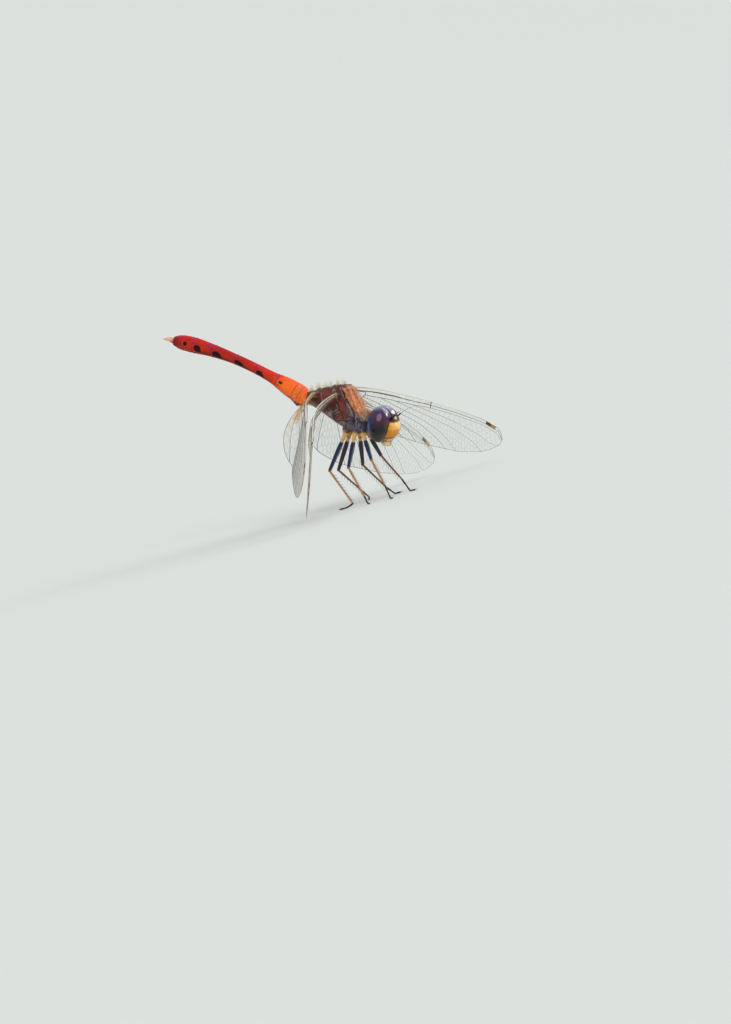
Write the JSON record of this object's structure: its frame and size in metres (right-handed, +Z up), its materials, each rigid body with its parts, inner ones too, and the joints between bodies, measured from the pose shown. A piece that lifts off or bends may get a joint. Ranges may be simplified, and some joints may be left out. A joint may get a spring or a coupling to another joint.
{
  "type": "dragonfly model",
  "caption": "Life-size still model of a small red dragonfly standing with its four clear wings drooped forward and its slender abdomen raised.",
  "frame": {"origin": "middle of the model's box, on the floor that the feet stand on", "axes": "+X the way the head faces, +Y the animal's left side, along the wings' spread, +Z up"},
  "size_m": [0.0314, 0.0474, 0.0245],
  "materials": {
    "face": "waxy amber horn with a dark red-brown brow and pale lips",
    "eye": "glossy, finely faceted, violet brown above and blue grey to olive below",
    "thorax": "dark red-brown shell with dusky sutures and fine pale hair",
    "abdomen_orange": "satin orange shell",
    "abdomen_red": "satin red shell with dark side spots",
    "appendage": "pale, slightly see-through horn",
    "wing": "clear, faintly iridescent membrane with amber to black veins",
    "leg_dark": "satin black horn, pale at the hips",
    "leg_tan": "tan horn with a dark edge and fine black spines",
    "claws_and_feelers": "satin black horn"
  },
  "bodies": {
    "root": {"head": "face", "eye_left": "eye", "eye_right": "eye", "antenna_left": "claws_and_feelers", "antenna_right": "claws_and_feelers", "neck": "thorax", "prothorax": "thorax", "thorax": "thorax", "abdomen_segments_1_3": "abdomen_orange", "abdomen_segments_4_5": "abdomen_red", "abdomen_segments_6_7": "abdomen_red", "abdomen_segments_8_10": "abdomen_red", "cercus_left": "appendage", "cercus_right": "appendage", "forewing_left": "wing", "forewing_right": "wing", "hindwing_left": "wing", "hindwing_right": "wing", "front_left_femur": "leg_dark", "front_left_tibia": "leg_tan", "front_left_tarsus": "leg_dark", "front_right_femur": "leg_dark", "front_right_tibia": "leg_tan", "front_right_tarsus": "leg_dark", "middle_left_femur": "leg_dark", "middle_left_tibia": "leg_tan", "middle_left_tarsus": "leg_dark", "middle_right_femur": "leg_dark", "middle_right_tibia": "leg_tan", "middle_right_tarsus": "leg_dark", "hind_left_femur": "leg_dark", "hind_left_tibia": "leg_tan", "hind_left_tarsus": "leg_dark", "hind_right_femur": "leg_dark", "hind_right_tibia": "leg_tan", "hind_right_tarsus": "leg_dark"}
  },
  "joints": []
}
